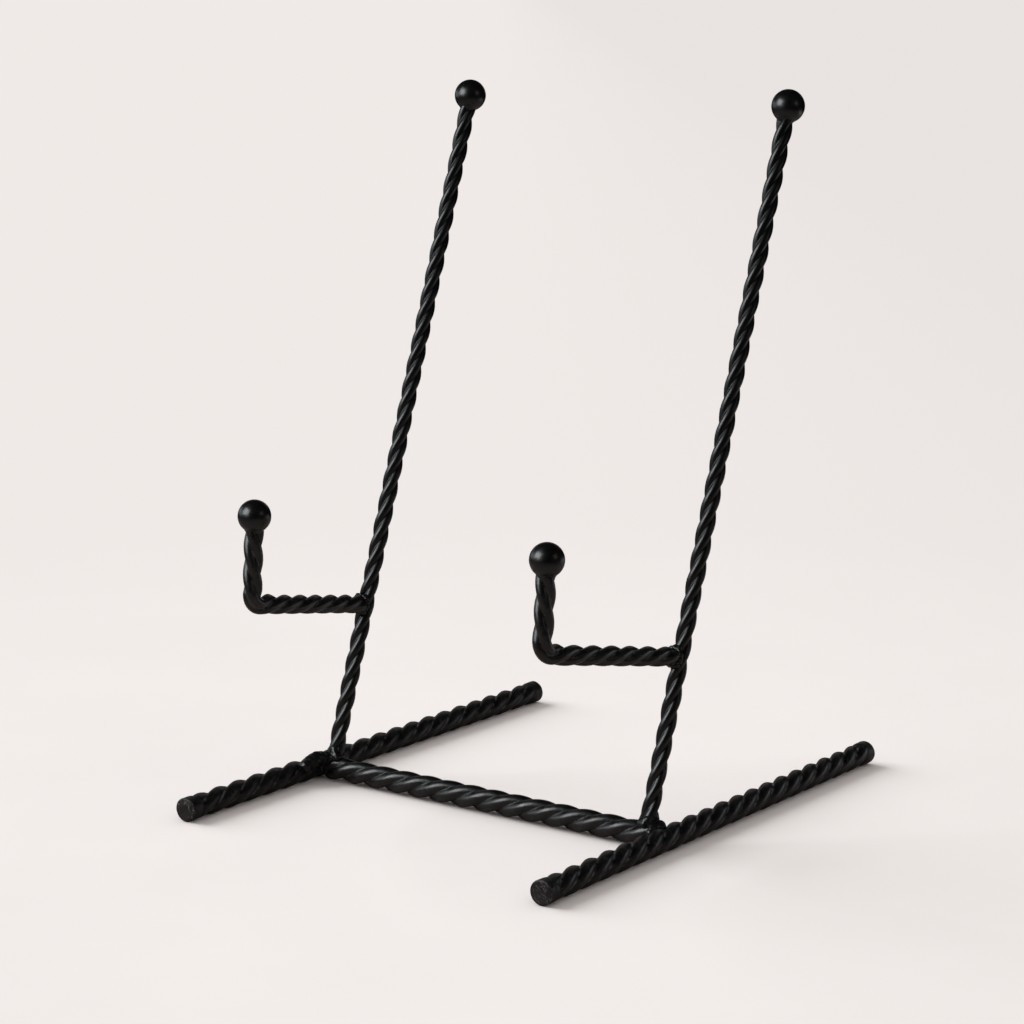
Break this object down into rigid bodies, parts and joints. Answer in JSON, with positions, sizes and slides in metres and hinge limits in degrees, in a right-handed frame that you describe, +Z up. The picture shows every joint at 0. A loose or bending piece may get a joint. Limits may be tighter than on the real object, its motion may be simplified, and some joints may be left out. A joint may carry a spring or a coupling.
{
  "type": "photo album stand",
  "caption": "Easel-style album stand of black twisted wire rods: two floor rails and a cross bar, leaning uprights, forward hooks with upturned ends, and a ball on each free tip.",
  "frame": {"origin": "middle of the footprint, on the surface that the rails rest on", "axes": "+X to the right of a person facing the front, +Y from front to back, +Z up; the hooks reach towards -Y"},
  "size_m": [0.1732, 0.222, 0.2695],
  "materials": {
    "rail_coat": "matt charcoal-black powder coat on twisted wire",
    "tip_coat": "matt powder coat, lightly scuffed, on a ground flat tip",
    "bar_coat": "satin black powder coat on twisted wire",
    "upright_coat": "satin black powder coat on twisted wire",
    "hook_coat": "satin to matt black powder coat on twisted wire",
    "ball_coat": "satin black powder coat with a fine grain",
    "weld_coat": "glossier black powder coat pooled over weld metal"
  },
  "bodies": {
    "root": {"left_rail_wire_1": "rail_coat", "left_rail_wire_2": "rail_coat", "left_rail_wire_3": "rail_coat", "right_rail_wire_1": "rail_coat", "right_rail_wire_2": "rail_coat", "right_rail_wire_3": "rail_coat", "left_rail_front_tip": "tip_coat", "left_rail_back_tip": "tip_coat", "right_rail_front_tip": "tip_coat", "right_rail_back_tip": "tip_coat", "cross_bar_wire_1": "bar_coat", "cross_bar_wire_2": "bar_coat", "cross_bar_wire_3": "bar_coat", "left_upright_wire_1": "upright_coat", "left_upright_wire_2": "upright_coat", "left_upright_wire_3": "upright_coat", "right_upright_wire_1": "upright_coat", "right_upright_wire_2": "upright_coat", "right_upright_wire_3": "upright_coat", "left_hook_wire_1": "hook_coat", "left_hook_wire_2": "hook_coat", "left_hook_wire_3": "hook_coat", "right_hook_wire_1": "hook_coat", "right_hook_wire_2": "hook_coat", "right_hook_wire_3": "hook_coat", "left_upright_ball": "ball_coat", "right_upright_ball": "ball_coat", "left_hook_ball": "ball_coat", "right_hook_ball": "ball_coat", "left_bar_weld": "weld_coat", "right_bar_weld": "weld_coat", "left_foot_weld": "weld_coat", "right_foot_weld": "weld_coat", "left_hook_weld": "weld_coat", "right_hook_weld": "weld_coat"}
  },
  "joints": []
}
